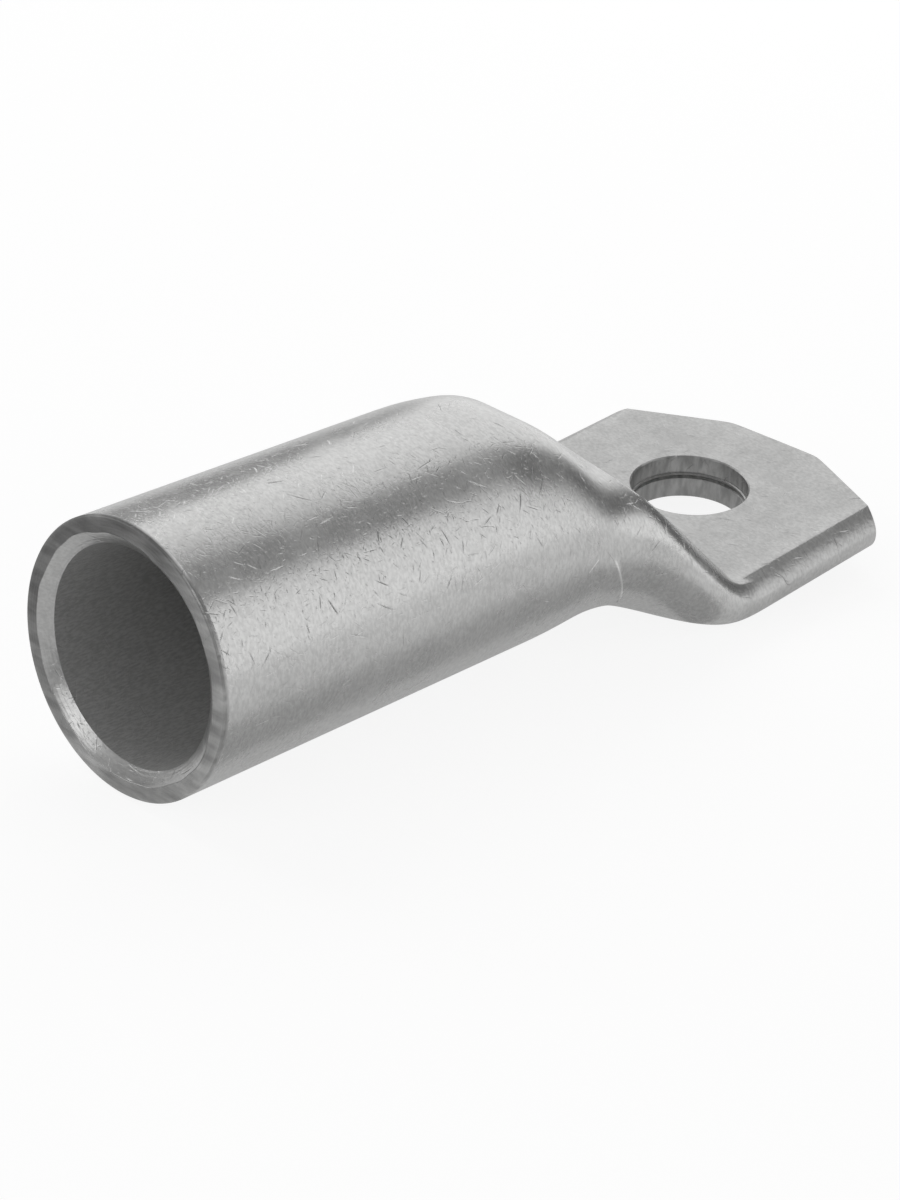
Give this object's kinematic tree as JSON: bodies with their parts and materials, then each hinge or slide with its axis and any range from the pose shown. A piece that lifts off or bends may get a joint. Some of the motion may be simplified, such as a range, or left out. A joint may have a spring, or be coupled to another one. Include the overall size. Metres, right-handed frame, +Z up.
{
  "type": "tubular cable lug",
  "caption": "Heavy tubular cable lug: a thick plated tube whose far end is pressed flat into a palm with a bolt hole and cut-off corners.",
  "frame": {"origin": "on the barrel's axis, where the straight bore begins behind the mouth's chamfer", "axes": "+X along the barrel from its mouth towards the palm, +Z up, square to the palm's width, +Y across the palm"},
  "size_m": [0.0983, 0.0372, 0.0272],
  "materials": {
    "tinned_copper": "satin tin plating with fine handling scratches"
  },
  "bodies": {
    "root": {"lug": "tinned_copper"}
  },
  "joints": []
}
